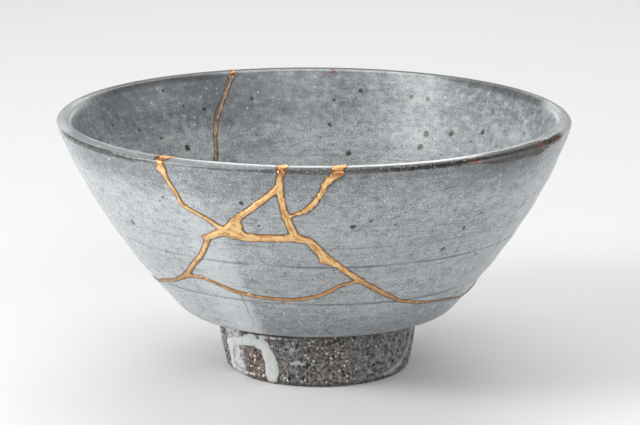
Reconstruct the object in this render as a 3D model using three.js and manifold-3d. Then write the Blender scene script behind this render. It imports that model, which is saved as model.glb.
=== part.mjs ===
// A thrown stoneware bowl on a turned foot, broken into shards and mended with gold lacquer.
// Millimetres, +Z up. The origin is on the standing surface, under the middle of the rim.
// Angles are degrees round the bowl from its front (-Y), positive towards +X.
import * as THREE from "three";
import { mergeVertices } from "three/addons/utils/BufferGeometryUtils.js";
import Module from "manifold-3d";

const wasm = await Module();
wasm.setup();

// Driving dimensions of the thrown form
const HEIGHT = 75.5;
const RIM_RADIUS = 75; // outside, at the widest part of the lip
const WIDEST_HEIGHT = 74.2; // height of that widest part
const CORNER_RADIUS = 41; // outside radius where the straight wall starts, above the shoulder
const CORNER_HEIGHT = 20;
const BELLY = 3.7; // how far the wall swells past a straight cone at mid height
const WALL_AT_CORNER = 5.4;
const WALL_AT_RIM = 3.9;
const LIP_CROWN = 1.0; // rise of the rounded lip over a flat one
const FLOOR_HEIGHT = 22.5; // inside floor, at the middle
const LEAN = 1.5; // the foot stands this far to +X of the rim's middle

// Driving dimensions of the foot
const FOOT_RADIUS = 27;
const FOOT_TOP_RADIUS = 29.6;
const FOOT_HEIGHT = 16.5;
const FOOT_RING_WIDTH = 5.4; // of the ring that the bowl stands on
const FOOT_EDGE = 1.2; // worn roundness of the standing edge
const FOOT_RECESS = 9.5; // depth of the hollow under the bowl

// Driving dimensions of the mend
const GOLD_PROUD = 0.4; // the lacquer stands this far out of the wall, inside and outside
const GOLD_GAP = 0.3; // bare joint between the lacquer and the shards
const SEAM_OUT = 2.5; // how far a seam's blank reaches out of the wall before it is trimmed
const SEAM_IN = 8;

// Fineness of the faceted solids
const LATHE_STEPS = 60;
const WALL_STEPS = 8;
const LIP_STEPS = 4;

// Meeting points of the seams: angle and height on the outside of the wall.
const FORK = [-7.3, 69.5];
const HUB_LEFT = [-20.5, 55];
const HUB_RIGHT = [-4.5, 54];
const ELBOW = [-6.3, 60.2];
const LOWER_LEFT = [-41, 37.3];
const LOWER_RIGHT = [12.6, 39.3];
const BACK_FOOT = [-146, 32];
const OVER_RIM = 78; // a seam that crosses the lip runs up to this height

// Each seam is a row of points, [angle, height, width], along one crack through the wall.
const SEAMS = [
  // From the rim on the left, a filled chip that narrows down to the left hub
  [
    [-33.5, OVER_RIM, 4.6],
    [-33.5, 73, 2.8],
    [-32.5, 70, 1.6],
    [-31, 64, 1.4],
    [-29.5, 61, 1.4],
    [-25.5, 57.8, 1.4],
    [...HUB_LEFT, 1.8],
  ],
  // From the rim in the middle down to the fork
  [
    [-6.5, OVER_RIM, 2.5],
    [-6.8, 73.5, 1.8],
    [...FORK, 2],
  ],
  // Left leg of the fork, widening into the left hub
  [
    [...FORK, 2],
    [-10.5, 65.2, 2],
    [-14.5, 60.8, 2.4],
    [-18, 56.6, 4],
    [...HUB_LEFT, 3],
  ],
  // Right leg of the fork, past the elbow to the right hub
  [
    [...FORK, 2],
    [-6.9, 64.5, 1.8],
    [...ELBOW, 2],
    [...HUB_RIGHT, 2.6],
  ],
  // From the rim on the right, down to the elbow
  [
    [5.8, OVER_RIM, 3.6],
    [5, 74.5, 3],
    [2.8, 70.5, 2.2],
    [0, 65.8, 1.9],
    [-1.7, 63.2, 2],
    [...ELBOW, 1.5],
  ],
  // Broad band between the two hubs
  [
    [...HUB_LEFT, 2.4],
    [-17, 53.5, 3],
    [-12, 53.8, 2],
    [-9, 54, 2],
    [...HUB_RIGHT, 2.8],
  ],
  // From the right hub down to the lower right meeting point
  [
    [...HUB_RIGHT, 2.8],
    [-1.5, 53, 2.5],
    [2.8, 47.2, 2.8],
    [6.5, 44.3, 1.9],
    [...LOWER_RIGHT, 1.9],
  ],
  // From the left hub down to the lower left meeting point
  [
    [...HUB_LEFT, 2],
    [-25.5, 51.8, 1.9],
    [-29.8, 47, 1.9],
    [-32, 44, 1.6],
    [...LOWER_LEFT, 1.9],
  ],
  // Low seam across the front, a shallow bow
  [
    [...LOWER_LEFT, 1.4],
    [-35, 37.5, 0.9],
    [-24.5, 34.2, 1.1],
    [-15, 33, 1.1],
    [-6.5, 33, 1],
    [2, 34.8, 1.1],
    [7.5, 38, 1],
    [...LOWER_RIGHT, 1],
  ],
  // Low seam from the lower left round to the back
  [
    [...LOWER_LEFT, 1.6],
    [-48.5, 34.3, 0.9],
    [-57, 32.5, 0.9],
    [-66, 30, 0.9],
    [-80, 28.5, 1],
    [-93, 29.5, 1],
    [-108, 27.5, 1.1],
    [-120, 28.5, 1.1],
    [-134, 32, 1.2],
    [...BACK_FOOT, 1.4],
  ],
  // Low seam from the lower right round to the back
  [
    [...LOWER_RIGHT, 1.6],
    [21.5, 34, 1.4],
    [27.5, 31, 1.1],
    [38, 29, 0.9],
    [49, 27.8, 0.9],
    [64, 25.8, 0.9],
    [80, 27, 1],
    [96, 30, 1],
    [112, 31, 1],
    [128, 28.5, 1.1],
    [145, 27, 1.1],
    [160, 28.5, 1.1],
    [176, 33, 1.2],
    [192, 35, 1.2],
    [204, 33, 1.2],
    [214, 32, 1.4],
  ],
  // From the rim at the back down to the low seam
  [
    [-159.3, OVER_RIM, 2],
    [-158.5, 72.5, 1.5],
    [-155.5, 66.3, 1.3],
    [-152.5, 61.5, 1.2],
    [-150.5, 56, 1.2],
    [-149, 50, 1.1],
    [-146.5, 45, 1.1],
    [-148, 38.5, 1.1],
    [...BACK_FOOT, 1.3],
  ],
];

// The shards that the seams part, each with a place inside it: angle and height.
const SHARDS = {
  base_with_foot: [0, 24],
  left_wall_shard: [-90, 55],
  right_wall_shard: [90, 55],
  front_left_rim_shard: [-20, 66],
  front_right_rim_shard: [-2, 70],
  centre_shard: [-10, 58.5],
  front_lower_shard: [-12, 44],
};
const PROBE = 0.5; // edge of the small cube that finds a shard

const radians = THREE.MathUtils.degToRad;
const lerp = THREE.MathUtils.lerp;

// Share of the way up the wall, 0 at the corner above the shoulder and 1 at the widest part.
function shareAt(height) {
  return (height - CORNER_HEIGHT) / (WIDEST_HEIGHT - CORNER_HEIGHT);
}

// Outside of the wall as (radius, height): a cone plus a parabolic belly.
function wallOutside(u) {
  const radius = lerp(CORNER_RADIUS, RIM_RADIUS, u) + 4 * BELLY * u * (1 - u);
  return new THREE.Vector2(radius, lerp(CORNER_HEIGHT, WIDEST_HEIGHT, u));
}

// Unit normal of that curve, pointing out of the bowl.
function wallNormal(u) {
  const spread = RIM_RADIUS - CORNER_RADIUS + 4 * BELLY * (1 - 2 * u);
  return new THREE.Vector2(WIDEST_HEIGHT - CORNER_HEIGHT, -spread).normalize();
}

// Inside of the wall: the outside moved in by the wall's thickness there.
function wallInside(u) {
  const thickness = lerp(WALL_AT_CORNER, WALL_AT_RIM, u);
  return wallOutside(u).addScaledVector(wallNormal(u), -thickness);
}

// The lip: a line from the widest part to the inner edge, crowned by a parabola.
function lipPoints() {
  const outer = wallOutside(1);
  const inner = wallInside(0.985);
  const points = [];
  for (let i = 1; i < LIP_STEPS; i++) {
    const t = i / LIP_STEPS;
    const point = outer.clone().lerp(inner, t);
    point.y += 4 * LIP_CROWN * t * (1 - t);
    points.push(point);
  }
  return [...points, inner];
}

// The whole section of the bowl, from the axis under the foot round to the axis inside.
function bowlSection() {
  const at = (radius, height) => new THREE.Vector2(radius, height);
  const ringInner = FOOT_RADIUS - FOOT_RING_WIDTH;
  const foot = [
    at(0, FOOT_RECESS),
    at(ringInner - 3, FOOT_RECESS - 0.6),
    at(ringInner - 0.6, FOOT_RECESS - 2.6),
    at(ringInner, FOOT_EDGE),
    at(ringInner + FOOT_EDGE, 0),
    at(FOOT_RADIUS - FOOT_EDGE, 0),
    at(FOOT_RADIUS, FOOT_EDGE),
    at(lerp(FOOT_RADIUS, FOOT_TOP_RADIUS, 0.55), FOOT_HEIGHT / 2),
    at(FOOT_TOP_RADIUS, FOOT_HEIGHT),
  ];
  const shoulder = [
    at(lerp(FOOT_TOP_RADIUS, CORNER_RADIUS, 0.58), FOOT_HEIGHT + 0.5),
    at(lerp(FOOT_TOP_RADIUS, CORNER_RADIUS, 0.84), lerp(FOOT_HEIGHT, CORNER_HEIGHT, 0.45)),
  ];
  const outside = [];
  const inside = [];
  for (let i = 0; i <= WALL_STEPS; i++) {
    outside.push(wallOutside(i / WALL_STEPS));
  }
  for (let i = WALL_STEPS - 1; i >= 1; i--) {
    inside.push(wallInside(i / WALL_STEPS));
  }
  const heel = wallInside(1 / WALL_STEPS);
  const floor = [
    at(heel.x * 0.87, lerp(FLOOR_HEIGHT, heel.y, 0.42)),
    at(heel.x * 0.66, lerp(FLOOR_HEIGHT, heel.y, 0.1)),
    at(0, FLOOR_HEIGHT),
  ];
  return [...foot, ...shoulder, ...outside, ...lipPoints(), ...inside, ...floor];
}

// The section grown by a distance along its own normals. Points on the axis stay on it.
function grown(section, distance) {
  return section.map((point, i) => {
    const before = section[Math.max(i - 1, 0)];
    const after = section[Math.min(i + 1, section.length - 1)];
    const along = after.clone().sub(before).normalize();
    const moved = point.clone().add(new THREE.Vector2(along.y, -along.x).multiplyScalar(distance));
    if (point.x === 0) {
      moved.x = 0;
    }
    return moved;
  });
}

// Sideways shift of the leaning form at a height.
function leanAt(height) {
  return LEAN * (1 - height / HEIGHT);
}

// A closed geometry as a solid, with shared vertices merged and collapsed triangles dropped.
function toSolid(geometry) {
  const bare = geometry.clone();
  bare.deleteAttribute("normal");
  bare.deleteAttribute("uv");
  const merged = mergeVertices(bare, 1e-4);
  const triangles = [];
  for (let i = 0; i < merged.index.count; i += 3) {
    const [a, b, c] = merged.index.array.slice(i, i + 3);
    if (a !== b && b !== c && c !== a) {
      triangles.push(a, b, c);
    }
  }
  const vertProperties = new Float32Array(merged.attributes.position.array);
  const triVerts = new Uint32Array(triangles);
  return new wasm.Manifold(new wasm.Mesh({ numProp: 3, vertProperties, triVerts }));
}

// A solid as a geometry.
function toGeometry(solid) {
  const mesh = solid.getMesh();
  const geometry = new THREE.BufferGeometry();
  geometry.setAttribute("position", new THREE.BufferAttribute(mesh.vertProperties, 3));
  geometry.setIndex(new THREE.BufferAttribute(mesh.triVerts, 1));
  geometry.computeVertexNormals();
  return geometry;
}

// A section turned about the axis, then leant.
function turned(section) {
  const geometry = new THREE.LatheGeometry(section, LATHE_STEPS).rotateX(Math.PI / 2);
  const position = geometry.attributes.position;
  for (let i = 0; i < position.count; i++) {
    position.setX(i, position.getX(i) + leanAt(position.getZ(i)));
  }
  return toSolid(geometry);
}

// A place on the outside of the wall: its point and its outward normal.
function onWall(angle, height) {
  const u = shareAt(height);
  const outside = wallOutside(u);
  const slope = wallNormal(u);
  const turn = radians(angle);
  const around = new THREE.Vector3(Math.sin(turn), -Math.cos(turn), 0);
  const point = around.clone().multiplyScalar(outside.x);
  point.x += leanAt(outside.y);
  point.z = outside.y;
  const normal = around.multiplyScalar(slope.x);
  normal.z = slope.y;
  return { point, normal };
}

// One seam's blank: a four-sided bar along the crack, through the whole wall.
function seamBlank(seam, extraWidth) {
  const places = seam.map(([angle, height]) => onWall(angle, height));
  const corners = [];
  places.forEach(({ point, normal }, i) => {
    const before = places[Math.max(i - 1, 0)].point;
    const after = places[Math.min(i + 1, places.length - 1)].point;
    const along = after.clone().sub(before).normalize();
    const side = normal.clone().cross(along).normalize();
    const half = seam[i][2] / 2 + extraWidth;
    for (const [across, out] of [[half, SEAM_OUT], [half, -SEAM_IN], [-half, -SEAM_IN], [-half, SEAM_OUT]]) {
      const corner = point.clone().addScaledVector(side, across).addScaledVector(normal, out);
      corners.push(corner.x, corner.y, corner.z);
    }
  });
  const triangles = [0, 1, 2, 0, 2, 3];
  const last = (places.length - 1) * 4;
  triangles.push(last, last + 2, last + 1, last, last + 3, last + 2);
  for (let i = 0; i < last; i += 4) {
    for (let k = 0; k < 4; k++) {
      const next = (k + 1) % 4;
      triangles.push(i + k, i + 4 + k, i + 4 + next, i + k, i + 4 + next, i + next);
    }
  }
  const geometry = new THREE.BufferGeometry();
  geometry.setAttribute("position", new THREE.Float32BufferAttribute(corners, 3));
  geometry.setIndex(triangles);
  return toSolid(geometry);
}

// All the seams as one network.
function seamNetwork(extraWidth) {
  const blanks = SEAMS.map((seam) => seamBlank(seam, extraWidth));
  return blanks.reduce((network, blank) => network.add(blank));
}

// The one of several pieces that holds a place in the middle of the wall.
function pieceAt(pieces, [angle, height]) {
  const { point, normal } = onWall(angle, height);
  const middle = point.addScaledVector(normal, -WALL_AT_RIM / 2);
  const probe = new THREE.BoxGeometry(PROBE, PROBE, PROBE).translate(middle.x, middle.y, middle.z);
  const solid = toSolid(probe);
  return pieces.find((piece) => piece.intersect(solid).volume() > 0);
}

const stoneware = new THREE.MeshStandardMaterial({ color: 0x9aa0a3, roughness: 0.35, metalness: 0 });
const gold = new THREE.MeshStandardMaterial({ color: 0xd39a55, roughness: 0.4, metalness: 1 });

const section = bowlSection();
const pieces = turned(section).subtract(seamNetwork(GOLD_GAP)).decompose();
const lacquer = turned(grown(section, GOLD_PROUD)).intersect(seamNetwork(0));

const bowl = new THREE.Group();
for (const [name, place] of Object.entries(SHARDS)) {
  const shard = new THREE.Mesh(toGeometry(pieceAt(pieces, place)), stoneware);
  shard.name = name;
  bowl.add(shard);
}
const seams = new THREE.Mesh(toGeometry(lacquer), gold);
seams.name = "gold_seams";
bowl.add(seams);

export default bowl;
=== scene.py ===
# %% [markdown]
# # A mended stoneware bowl
# The bowl was thrown on a wheel, glazed blue-grey and fired. Later it broke, and lacquer dusted with gold
# joins its shards again. The CAD part gives the frame: every size, the seven shards and the crack routes.
# This script dresses that frame. Each shard gets a finer skin, with the ripples of the wheel and a rough
# foot, and the lacquer gets its soft edges. Everything stays inside the frame's box.

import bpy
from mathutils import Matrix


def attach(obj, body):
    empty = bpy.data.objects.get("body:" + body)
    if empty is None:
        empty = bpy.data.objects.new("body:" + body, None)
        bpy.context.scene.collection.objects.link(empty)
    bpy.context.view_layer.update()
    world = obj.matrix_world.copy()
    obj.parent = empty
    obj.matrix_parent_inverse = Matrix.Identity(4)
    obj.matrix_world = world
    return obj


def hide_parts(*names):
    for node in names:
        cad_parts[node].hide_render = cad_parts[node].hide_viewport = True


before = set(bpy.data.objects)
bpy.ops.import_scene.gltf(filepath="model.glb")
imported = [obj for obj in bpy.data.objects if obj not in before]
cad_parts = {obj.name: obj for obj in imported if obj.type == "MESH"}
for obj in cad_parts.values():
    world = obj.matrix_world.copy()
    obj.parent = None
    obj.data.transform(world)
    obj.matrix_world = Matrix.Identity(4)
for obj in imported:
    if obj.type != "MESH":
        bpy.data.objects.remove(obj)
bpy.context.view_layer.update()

# %% [markdown]
# ## The turned outline
# A thrown bowl is one outline turned about an axis. Blender's Screw modifier could turn it, but then the
# crack lines could not be found on it again. Here the outline is worked out as numbers. It runs from the
# middle of the foot's hollow, over the standing ring, up the outside, over the lip and down the inside to
# the middle of the floor. A mark runs along it: 0 to 1 up the outside of the wall, 1 to 2 down the inside.

# %% Wall and lip, in millimetres
import math

import bpy
import numpy as np

MM = 0.001  # metres in a millimetre
HEIGHT = 75.5
RIM_RADIUS = 75.0  # outside, at the widest part of the lip
WIDEST_HEIGHT = 74.2
CORNER_RADIUS = 41.0  # where the wall starts, above the shoulder
CORNER_HEIGHT = 20.0
BELLY = 3.7  # how far the wall swells past a straight flare
WALL_AT_CORNER = 5.4
WALL_AT_RIM = 3.9
LIP_CROWN = 1.0  # rise of the rounded lip over a flat one
LIP_SHARE = 0.985  # share of the wall's rise at the lip's inner edge
HEEL_SHARE = 0.08  # share where the inside of the wall turns into the floor
WALL_RISE = WIDEST_HEIGHT - CORNER_HEIGHT
WALL_FLARE = RIM_RADIUS - CORNER_RADIUS


def wall_outside(share):
    """Radius and height of the outside: a straight flare plus a parabola that makes the belly."""
    radius = CORNER_RADIUS + WALL_FLARE * share + 4 * BELLY * share * (1 - share)
    return np.stack([radius, CORNER_HEIGHT + WALL_RISE * share], axis=-1)


def wall_inside(share):
    """The outside moved inwards along the wall's own normal by the thickness of the wall there."""
    fall = -(WALL_FLARE + 4 * BELLY * (1 - 2 * share))
    normal = np.stack([np.full_like(share, WALL_RISE), fall], axis=-1)
    normal /= np.linalg.norm(normal, axis=-1, keepdims=True)
    thick = WALL_AT_CORNER + (WALL_AT_RIM - WALL_AT_CORNER) * share
    return wall_outside(share) - normal * thick[:, None]


def lip(count):
    """A straight line from the outside of the rim to the inside, lifted by a parabola."""
    along = np.linspace(0, 1, count)[:, None]
    outer_end = wall_outside(np.array([1.0]))
    inner_end = wall_inside(np.array([LIP_SHARE]))
    points = outer_end + (inner_end - outer_end) * along
    points[:, 1] += LIP_CROWN * 4 * along[:, 0] * (1 - along[:, 0])
    return points


print("lip runs from", lip(2)[0].round(2), "to", lip(2)[1].round(2))

# %% Foot, floor and the raw outline
FOOT = [(0, 9.5), (18.6, 8.9), (21.0, 6.9), (21.6, 1.2), (22.8, 0), (25.8, 0), (27, 1.2), (28.4, 8.25),
        (29.6, 17.0), (36.2, 17.8), (39.2, 18.7), (41, 20)]  # radius and height, from the middle outwards
FLOOR_HEIGHT = 22.5
FLOOR_SHARPNESS = 6
FOOT_MARK = -1.0  # mark at the middle under the foot
FLOOR_MARK = 2 - HEEL_SHARE  # mark where the floor starts
WALL_FINE = 600  # raw points on each face of the wall
FLOOR_FINE = 300
LIP_FINE = 60


def lengths_along(points):
    """Length of the line through the points, up to each of them."""
    return np.concatenate([[0], np.cumsum(np.hypot(*np.diff(points, axis=0).T))])


def raw_outline():
    """Points and marks of the foot, the outside, the lip, the inside and the floor, one after the other.

    The floor rises from its middle by the sixth power of the radius, so it is flat and turns up at the
    heel.
    """
    up = np.linspace(0, 1, WALL_FINE)
    down = np.linspace(LIP_SHARE, HEEL_SHARE, WALL_FINE)
    inside = wall_inside(down)
    heel = inside[-1]
    inwards = np.linspace(1, 0, FLOOR_FINE)
    rise = (heel[1] - FLOOR_HEIGHT) * inwards**FLOOR_SHARPNESS
    floor = np.stack([heel[0] * inwards, FLOOR_HEIGHT + rise], axis=-1)
    foot = np.array(FOOT, float)
    foot_run = lengths_along(foot)
    foot_marks = FOOT_MARK * (1 - foot_run / foot_run[-1])
    lip_marks = 1 + (1 - LIP_SHARE) * np.linspace(0, 1, LIP_FINE)
    points = np.concatenate([foot, wall_outside(up), lip(LIP_FINE), inside, floor])
    return points, np.concatenate([foot_marks, up, lip_marks, 2 - down, FLOOR_MARK + 1 - inwards])


raw_points, raw_marks = raw_outline()
print("raw outline has", len(raw_points), "points, marks", raw_marks[0], "to", raw_marks[-1].round(2))

# %% Even outline with rounded corners
SAME_SPOT = 1e-6  # points closer than this are one
STEP = 0.1  # spacing of the finished outline
ROUNDING = 4  # width of the rounding, in steps


def evened(points, marks):
    """The same line with evenly spaced points: its ways, its marks and its points with rounded corners.

    Rounding is a running average along the outline with a bell-shaped weight.
    """
    apart = np.hypot(*np.diff(points, axis=0).T) > SAME_SPOT
    keep = np.concatenate([[True], apart])
    points, marks = points[keep], marks[keep]
    length = lengths_along(points)
    even = np.linspace(0, length[-1], int(length[-1] / STEP))
    reach = 3 * ROUNDING
    weight = np.exp(-0.5 * (np.arange(-reach, reach + 1) / ROUNDING) ** 2)
    columns = []
    for axis in (0, 1):
        line = np.interp(even, length, points[:, axis])
        line = np.pad(line, reach, mode="reflect", reflect_type="odd")
        columns.append(np.convolve(line, weight / weight.sum(), mode="valid"))
    return even, np.interp(even, length, marks), np.stack(columns, axis=-1)


way, way_marks, way_points = evened(raw_points, raw_marks)
tangent = np.gradient(way_points, way, axis=0)
tangent /= np.linalg.norm(tangent, axis=1, keepdims=True)
way_normals = np.stack([tangent[:, 1], -tangent[:, 0]], axis=-1)
print("outline", round(way[-1], 1), "mm long, lip top at", way_points[:, 1].max().round(2))

# %% [markdown]
# ## A point on the bowl
# Every piece below is placed by an angle round the bowl and a way along the outline. The angle is 0 at the
# front and grows to the right. The foot stands a little to the right of the rim, because the bowl leaned
# on the wheel, so each level is shifted sideways. Ripples and grooves could be a Displace modifier, but the
# gold has to follow them too. So they are a function, a lift along the outline's normal.

# %% Placing
LEAN = 1.5  # the foot stands this far to the right of the rim's middle


def on_bowl(angle, place, lift=0.0):
    """The outline's point at that way along it, moved out by the lift and turned by the angle, in metres."""
    radius = np.interp(place, way, way_points[:, 0]) + lift * np.interp(place, way, way_normals[:, 0])
    height = np.interp(place, way, way_points[:, 1]) + lift * np.interp(place, way, way_normals[:, 1])
    shift = LEAN * (1 - height / HEIGHT)
    return np.stack([radius * np.sin(angle) + shift, -radius * np.cos(angle), height], axis=-1) * MM


def place_of(mark):
    """The way along the outline at a mark: 0 to 1 up the outside, 1 to 2 down the inside."""
    return np.interp(mark, way_marks, way)


def share_of(height):
    """The share of the wall's rise at a height on its outside."""
    return (np.asarray(height, float) - CORNER_HEIGHT) / WALL_RISE


def fade(value, none, full):
    """0 at the first limit and 1 at the second, a straight line between, whichever is larger."""
    return np.clip((value - none) / (full - none), 0, 1)


def bell(offset, width):
    """A bell shape: 1 at no offset, about a third at the width, and soon nothing."""
    return np.exp(-((offset / width) ** 2))


def waves(angle, place, radius, wavelength, seed, count=40):
    """Smooth noise: cosine waves of 0.7 to 1.4 wavelengths in random directions, closed round the bowl."""
    chance = np.random.default_rng(seed)
    total = 0.0
    for heading, stretch, start in chance.random((count, 3)):
        number = 2 * math.pi / (wavelength * (0.7 + 0.7 * stretch))
        around = round(number * radius * math.cos(math.pi * heading))
        along = number * math.sin(math.pi * heading)
        total = total + np.cos(around * angle + along * place + 2 * math.pi * start)
    return total / math.sqrt(count / 2)


print("the front of the rim is at", on_bowl(0.0, place_of(1.0)).round(4), "m")

# %% Ripples, grooves and the lip's rise
GROOVES = [(44.0, 0.16), (31.0, 0.13), (58.5, 0.05), (50.5, 0.05)]  # height and depth
GROOVE_WIDTH = 0.7
GROOVE_SWAY = 0.35
RIPPLE = 0.09
RIPPLE_LENGTH = 11.0
WOBBLE = 0.10
WOBBLE_LENGTH = 45
WALL_RADIUS = 60  # about the middle of the wall
RELIEF_STARTS = (-0.05, 0.15)  # marks where the relief sets in above the foot
RELIEF_ENDS = (FLOOR_MARK + 0.4, FLOOR_MARK + 0.1)  # marks where it has gone on the floor
LIP_CALM = 0.1  # the relief also dies away this near to the lip's mark
LIP_CREST = place_of(1 + (1 - LIP_SHARE) / 2)
LIP_RISE = 0.4
RISE_PAST_CREST = 1.5
RISE_WIDTH = 0.9
RISE_STARTS = (-32, -18)  # degrees
RISE_ENDS = (96, 76)


def wheel_relief(angle, place):
    """Ripples: a sine along the outline. Grooves: bell-shaped cuts at their heights. Both fade at the lip.

    The inner edge of the lip rises by a bell shape at the front right, where the rim is not quite true.
    """
    mark = np.interp(place, way, way_marks)
    strength = fade(mark, *RELIEF_STARTS) * fade(mark, *RELIEF_ENDS) * fade(np.abs(mark - 1), 0, LIP_CALM)
    wander = waves(angle, place, WALL_RADIUS, WOBBLE_LENGTH, seed=3, count=12)
    lift = RIPPLE * np.sin(2 * math.pi * place / RIPPLE_LENGTH + wander) + WOBBLE * wander
    for height, depth in GROOVES:
        off = place - place_of(share_of(height)) - GROOVE_SWAY * wander
        lift = lift - depth * bell(off, GROOVE_WIDTH)
    risen = fade(np.degrees(angle), *RISE_STARTS) * fade(np.degrees(angle), *RISE_ENDS)
    return lift * strength + LIP_RISE * risen * bell(place - LIP_CREST - RISE_PAST_CREST, RISE_WIDTH)


print("the relief lifts the front by", wheel_relief(np.zeros(3), place_of([0.2, 0.5, 0.8])).round(3), "mm")

# %% [markdown]
# ## The crack routes
# A crack in a bowl is a line of a few turns from one meeting to the next. Curve objects could hold them, but
# the shards, the gold and the colours all need the same lines. So each route is a short list: angle in
# degrees, height in millimetres on the outside, and the width of the gold there. The routes keep to the
# frame's, with a few more turns. A smooth curve through the points gives the hand-drawn look of lacquer.

# %% Routes of the cracks
OVER_RIM = 78  # a crack that crosses the lip runs up to this height
FORK = (-7.3, 69.5)
HUB_LEFT = (-20.5, 55)
HUB_RIGHT = (-4.5, 54)
ELBOW = (-6.3, 60.2)
LOW_LEFT = (-41, 37.3)
LOW_RIGHT = (12.6, 39.3)
BACK_LOW = (-146, 32)
ROUTES = {
    "left_rim": [(-33.8, OVER_RIM, 2.2), (-33.7, 72.6, 2.5), (-33.3, 70.6, 1.7), (-32.5, 68, 1.4),
                 (-31.7, 65, 1.4), (-31.0, 62.2, 1.3), (-30.0, 61.2, 1.4), (-26.5, 58.8, 1.4),
                 (-22.7, 55.9, 1.6), (*HUB_LEFT, 1.8)],
    "centre_rim": [(-6.5, OVER_RIM, 2.5), (-6.8, 73.5, 1.8), (*FORK, 2)],
    "left_leg": [(*FORK, 2), (-11, 65.6, 1.7), (-14, 62.7, 1.8), (-17.2, 59.7, 2.0), (-19.4, 57, 2.8),
                 (*HUB_LEFT, 3)],
    "right_leg": [(*FORK, 2), (-6.9, 64.5, 1.8), (*ELBOW, 2)],
    "elbow": [(*ELBOW, 2), (*HUB_RIGHT, 2.6)],
    "right_rim": [(5.8, OVER_RIM, 2.6), (5.0, 74.0, 2.7), (3.7, 72.6, 2.4), (2.5, 70.6, 1.9),
                  (1.9, 69.0, 1.5), (0.8, 66.2, 1.6), (-0.7, 63.9, 1.9), (-2.0, 62.5, 1.5),
                  (-4.0, 61.5, 1.1), (*ELBOW, 1.2)],
    "band": [(*HUB_LEFT, 3.2), (-17.5, 53.6, 3.2), (-12, 53.5, 2.4), (-9, 53.6, 2.4), (*HUB_RIGHT, 2.8)],
    "right_fall": [(*HUB_RIGHT, 2.8), (-1.5, 53, 2.5), (2.8, 47.2, 2.8), (6.5, 44.3, 1.9), (*LOW_RIGHT, 1.9)],
    "left_fall": [(*HUB_LEFT, 2), (-23.9, 53.7, 2.3), (-26.9, 52, 1.9), (-28.3, 49.8, 1.5), (-30, 47.2, 1.5),
                  (-32.3, 44.6, 1.4), (-35.6, 42, 1.4), (*LOW_LEFT, 1.6)],
    "low_bow": [(*LOW_LEFT, 1.3), (-35, 37.4, 1.0), (-24.5, 34.2, 1.3), (-15, 33, 1.25), (-6.5, 33, 1.15),
                (2, 34.8, 1.2), (7.5, 38, 1.15), (*LOW_RIGHT, 1.1)],
    "low_left": [(*LOW_LEFT, 1.6), (-48.5, 34.3, 0.9), (-57, 32.5, 0.9), (-66, 30, 0.9), (-80, 28.5, 1),
                 (-93, 29.5, 1), (-108, 27.5, 1.1), (-120, 28.5, 1.1), (-134, 32, 1.2), (*BACK_LOW, 1.4)],
    "low_right": [(*LOW_RIGHT, 1.6), (21.5, 34, 1.4), (27.5, 31, 1.1), (38, 29, 0.9), (49, 27.8, 0.9),
                  (64, 25.8, 0.9), (80, 27, 1), (96, 30, 1), (112, 31, 1), (128, 28.5, 1.1), (145, 27, 1.1),
                  (160, 28.5, 1.1), (176, 33, 1.2), (192, 35, 1.2), (204, 33, 1.2), (214, 32, 1.4)],
    "back_rim": [(-159.3, OVER_RIM, 1.7), (-158.5, 72.5, 1.5), (-155.5, 66.3, 1.2), (-152.5, 61.5, 1.3),
                 (-150.5, 56, 1.0), (-149, 50, 1.0), (-146.5, 45, 1.1), (-148, 38.5, 1.1), (*BACK_LOW, 1.3)],
}
print(len(ROUTES), "routes with", sum(len(route) for route in ROUTES.values()), "points")

# %% Smooth paths along the routes
PATH_STEP = 0.25
PATH_LEAST = 4  # points on even the shortest path
SUPPLE = 0.45  # 0 would give straight pieces, 1 round bends


def smooth_path(points):
    """A curve through the points: cubic pieces whose slope at a point is set by the points either side."""
    points = np.asarray(points, float)
    if len(points) < 3:
        points = np.insert(points, 1, points.mean(axis=0), axis=0)
    run = lengths_along(points[:, :2])
    slope = SUPPLE * np.gradient(points, run, axis=0)
    at = np.linspace(0, run[-1], max(int(run[-1] / PATH_STEP), PATH_LEAST))
    piece = np.clip(np.searchsorted(run, at, side="right") - 1, 0, len(run) - 2)
    gap = (run[piece + 1] - run[piece])[:, None]
    t = (at[:, None] - run[piece][:, None]) / gap
    first = (1 + 2 * t) * (1 - t) ** 2 * points[piece] + t * (1 - t) ** 2 * gap * slope[piece]
    second = t * t * (3 - 2 * t) * points[piece + 1] + t * t * (t - 1) * gap * slope[piece + 1]
    return first + second


def crack_path(route):
    """The route made smooth: angle, share of the wall's rise and width of the gold along it."""
    angle, height, width = np.array(route, float).T
    share = np.minimum(share_of(height), 1.0)
    around = np.radians(angle) * wall_outside(share)[:, 0]
    path = smooth_path(np.stack([around, share * WALL_RISE, width], axis=-1))
    share = path[:, 1] / WALL_RISE
    return path[:, 0] / wall_outside(share)[:, 0], share, path[:, 2]


cracks = {name: crack_path(route) for name, route in ROUTES.items()}
print(len(cracks), "cracks,", sum(len(path[0]) for path in cracks.values()), "points along them")

# %% [markdown]
# ## Which shard a spot belongs to
# On the real bowl the cracks part one skin into seven shards. Boolean cuts could do that, but they can leave
# ragged edges on a fine mesh. The shards share one surface, so each small cell of it only needs a label. The
# front shards are closed loops of cracks, and a spot is inside a loop when a line from it crosses the loop
# an odd number of times. The base is all below the low crack, and the back crack parts left from right.

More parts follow.
